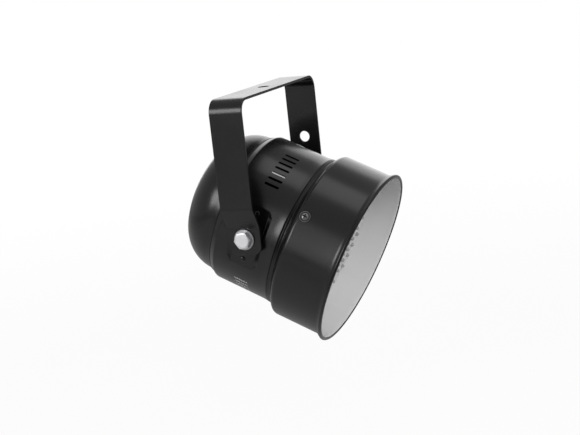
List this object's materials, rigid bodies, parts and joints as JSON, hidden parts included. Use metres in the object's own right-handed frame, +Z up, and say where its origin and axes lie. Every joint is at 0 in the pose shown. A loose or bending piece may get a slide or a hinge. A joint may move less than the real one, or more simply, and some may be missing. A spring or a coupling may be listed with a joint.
{
  "type": "led par can",
  "caption": "Black spun steel stage par can with a recessed lamp field, tilting in a bent strip yoke that hangs from a hole in its top bar.",
  "frame": {"origin": "centre of the hanging hole, on the top face of the yoke's bar", "axes": "+Z up, out of the bar's top face; +X along the pivot axis towards the arm with the safety hole; -Y the way the light points, tilted down at rest"},
  "size_m": [0.2168, 0.2447, 0.2932],
  "materials": {
    "black_paint": "satin black powder coat",
    "white_solder_mask": "satin white",
    "zinc_steel": "bright zinc plate",
    "galvanised_sheet": "galvanised",
    "black_screw_steel": "black oxide",
    "black_nylon": "moulded",
    "black_rubber": "matt",
    "circuit_board": "solder mask",
    "core_steel": "laminated core",
    "aluminium": "plain",
    "nickel": "satin nickel plate",
    "red_plastic": "moulded",
    "white_plastic": "moulded"
  },
  "bodies": {
    "yoke": {"yoke_bracket": "black_paint"},
    "can": {"body_shell": "black_paint", "cable_gland": "black_nylon", "capacitor_lower": "aluminium", "capacitor_upper": "aluminium", "collar_screw_1": "black_screw_steel", "collar_screw_2": "black_screw_steel", "collar_screw_3": "black_screw_steel", "control_board": "circuit_board", "dip_block": "red_plastic", "driver_board": "circuit_board", "driver_post_1": "nickel", "driver_post_2": "nickel", "driver_post_3": "nickel", "driver_post_4": "nickel", "front_collar": "black_paint", "gland_nut": "black_nylon", "heat_sink": "aluminium", "led_board": "white_solder_mask", "led_carrier": "galvanised_sheet", "led_spacer_1": "nickel", "led_spacer_2": "nickel", "led_spacer_3": "nickel", "led_spacer_4": "nickel", "pivot_bolt_far": "zinc_steel", "pivot_bolt_near": "zinc_steel", "pivot_bush_far": "black_rubber", "pivot_bush_near": "black_rubber", "pivot_nut_far": "zinc_steel", "pivot_nut_near": "zinc_steel", "pivot_stiffener_far": "galvanised_sheet", "pivot_stiffener_near": "galvanised_sheet", "pivot_washer_far": "zinc_steel", "pivot_washer_near": "zinc_steel", "rear_dome": "black_paint", "rivet_far_lower": "black_paint", "rivet_far_upper": "black_paint", "rivet_near_lower": "black_paint", "rivet_near_upper": "black_paint", "switch_board": "circuit_board", "switch_post_1": "nickel", "switch_post_2": "nickel", "transformer": "core_steel", "xlr_in": "nickel", "xlr_out": "nickel"},
    "latch": {"xlr_latch": "nickel"},
    "slider_01": {"dip_slider_01": "white_plastic"},
    "slider_02": {"dip_slider_02": "white_plastic"},
    "slider_03": {"dip_slider_03": "white_plastic"},
    "slider_04": {"dip_slider_04": "white_plastic"},
    "slider_05": {"dip_slider_05": "white_plastic"},
    "slider_06": {"dip_slider_06": "white_plastic"},
    "slider_07": {"dip_slider_07": "white_plastic"},
    "slider_08": {"dip_slider_08": "white_plastic"},
    "slider_09": {"dip_slider_09": "white_plastic"},
    "slider_10": {"dip_slider_10": "white_plastic"}
  },
  "joints": [
    {"name": "tilt", "type": "hinge", "parent": "yoke", "child": "can", "pos_m": [0, 0, -0.1543], "axis": [1, 0, 0], "range_deg": [-115, 154]},
    {"name": "latch_press", "type": "slide", "parent": "can", "child": "latch", "axis": [0, -0.9015, -0.4329], "range_m": [0, 0.001], "stiffness_N_per_m": 800},
    {"name": "switch_01", "type": "slide", "parent": "can", "child": "slider_01", "axis": [0, -0.4329, 0.9015], "range_m": [0, 0.0022]},
    {"name": "switch_02", "type": "slide", "parent": "can", "child": "slider_02", "axis": [0, -0.4329, 0.9015], "range_m": [0, 0.0022]},
    {"name": "switch_03", "type": "slide", "parent": "can", "child": "slider_03", "axis": [0, -0.4329, 0.9015], "range_m": [0, 0.0022]},
    {"name": "switch_04", "type": "slide", "parent": "can", "child": "slider_04", "axis": [0, -0.4329, 0.9015], "range_m": [0, 0.0022]},
    {"name": "switch_05", "type": "slide", "parent": "can", "child": "slider_05", "axis": [0, -0.4329, 0.9015], "range_m": [0, 0.0022]},
    {"name": "switch_06", "type": "slide", "parent": "can", "child": "slider_06", "axis": [0, -0.4329, 0.9015], "range_m": [0, 0.0022]},
    {"name": "switch_07", "type": "slide", "parent": "can", "child": "slider_07", "axis": [0, -0.4329, 0.9015], "range_m": [0, 0.0022]},
    {"name": "switch_08", "type": "slide", "parent": "can", "child": "slider_08", "axis": [0, -0.4329, 0.9015], "range_m": [0, 0.0022]},
    {"name": "switch_09", "type": "slide", "parent": "can", "child": "slider_09", "axis": [0, -0.4329, 0.9015], "range_m": [0, 0.0022]},
    {"name": "switch_10", "type": "slide", "parent": "can", "child": "slider_10", "axis": [0, -0.4329, 0.9015], "range_m": [0, 0.0022]}
  ]
}
